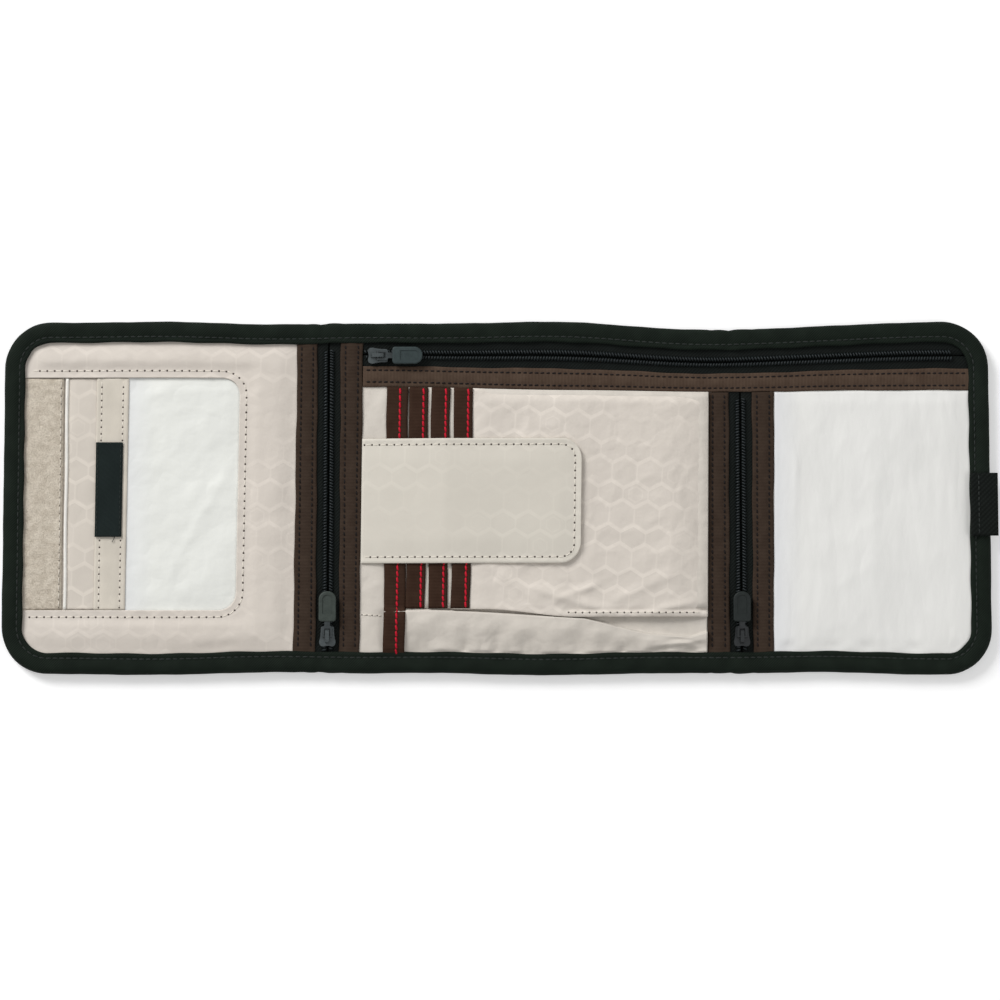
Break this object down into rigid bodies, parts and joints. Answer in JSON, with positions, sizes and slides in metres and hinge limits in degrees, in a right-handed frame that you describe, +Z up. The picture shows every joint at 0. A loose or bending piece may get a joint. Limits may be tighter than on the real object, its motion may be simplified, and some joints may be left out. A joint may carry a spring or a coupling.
{
  "type": "neck wallet",
  "caption": "Tri-fold travel wallet opened flat: zipped pockets with sliders, card slots with trimmed mouths, a flap, a windowed identity pocket and a bound edge.",
  "frame": {"origin": "centre of the bounding box, on the table under the opened wallet", "axes": "+X along the opened length, from the identity panel to the tab; +Y across it, towards the top zip; +Z up, out of the inside face"},
  "size_m": [0.4278, 0.1516, 0.008],
  "materials": {
    "black_cloth": "matte woven tape and shell cloth",
    "webbing": "matte woven webbing",
    "hook_tape": "stiff hooks on woven tape",
    "beige_lining": "fine jacquard lining",
    "brown_ribbon": "ribbed ribbon",
    "loop_pile": "fuzzy loop pile",
    "white_piping": "smooth cord cover",
    "milky_film": "soft milky film",
    "coil_nylon": "nylon coil",
    "slider_paint": "satin dark grey paint",
    "grip_plastic": "matte moulded grip"
  },
  "bodies": {
    "wallet": {"outer_shell": "black_cloth", "pocket_lining": "beige_lining", "edge_binding": "black_cloth", "pull_tab": "webbing", "hook_strip": "hook_tape", "left_panel": "beige_lining", "id_backing": "beige_lining", "id_window": "milky_film", "id_trim": "beige_lining", "woven_label": "black_cloth", "loop_strip": "loop_pile", "loop_edge_piping": "white_piping", "left_zip_outer_tape": "black_cloth", "left_zip_outer_coil": "coil_nylon", "left_zip_outer_band": "brown_ribbon", "left_zip_inner_tape": "black_cloth", "left_zip_inner_coil": "coil_nylon", "left_zip_inner_band": "brown_ribbon", "right_zip_inner_tape": "black_cloth", "right_zip_inner_coil": "coil_nylon", "right_zip_inner_band": "brown_ribbon", "right_zip_outer_tape": "black_cloth", "right_zip_outer_coil": "coil_nylon", "right_zip_outer_band": "brown_ribbon", "top_zip_upper_tape": "black_cloth", "top_zip_lower_tape": "black_cloth", "top_zip_upper_coil": "coil_nylon", "top_zip_lower_coil": "coil_nylon", "top_zip_band": "brown_ribbon", "centre_backing": "beige_lining", "passport_pocket": "beige_lining", "passport_trim": "brown_ribbon", "card_slot_1": "beige_lining", "card_trim_1": "brown_ribbon", "card_slot_2": "beige_lining", "card_trim_2": "brown_ribbon", "card_slot_3": "beige_lining", "card_trim_3": "brown_ribbon", "centre_flap": "beige_lining", "right_backing": "beige_lining", "right_window": "milky_film"},
    "left_zip_slider": {"left_zip_slider": "slider_paint"},
    "left_zip_puller": {"left_zip_puller_link": "slider_paint", "left_zip_puller_grip": "grip_plastic"},
    "top_zip_slider": {"top_zip_slider": "slider_paint"},
    "top_zip_puller": {"top_zip_puller_link": "slider_paint", "top_zip_puller_grip": "grip_plastic"},
    "right_zip_slider": {"right_zip_slider": "slider_paint"},
    "right_zip_puller": {"right_zip_puller_link": "slider_paint", "right_zip_puller_grip": "grip_plastic"}
  },
  "joints": [
    {"name": "left_zip_slide", "type": "slide", "parent": "wallet", "child": "left_zip_slider", "axis": [0, 1, 0], "range_m": [0, 0.1197]},
    {"name": "left_zip_puller_hinge", "type": "hinge", "parent": "left_zip_slider", "child": "left_zip_puller", "pos_m": [-0.0739, -0.05985, 0.00655], "axis": [1, 0, 0], "range_deg": [0, 165]},
    {"name": "top_zip_slide", "type": "slide", "parent": "wallet", "child": "top_zip_slider", "axis": [1, 0, 0], "range_m": [0, 0.24]},
    {"name": "top_zip_puller_hinge", "type": "hinge", "parent": "top_zip_slider", "child": "top_zip_puller", "pos_m": [-0.0527, 0.06115, 0.00655], "axis": [0, -1, 0], "range_deg": [0, 165]},
    {"name": "right_zip_slide", "type": "slide", "parent": "wallet", "child": "right_zip_slider", "axis": [0, 1, 0], "range_m": [0, 0.0992]},
    {"name": "right_zip_puller_hinge", "type": "hinge", "parent": "right_zip_slider", "child": "right_zip_puller", "pos_m": [0.1036, -0.05985, 0.00655], "axis": [1, 0, 0], "range_deg": [0, 165]}
  ]
}
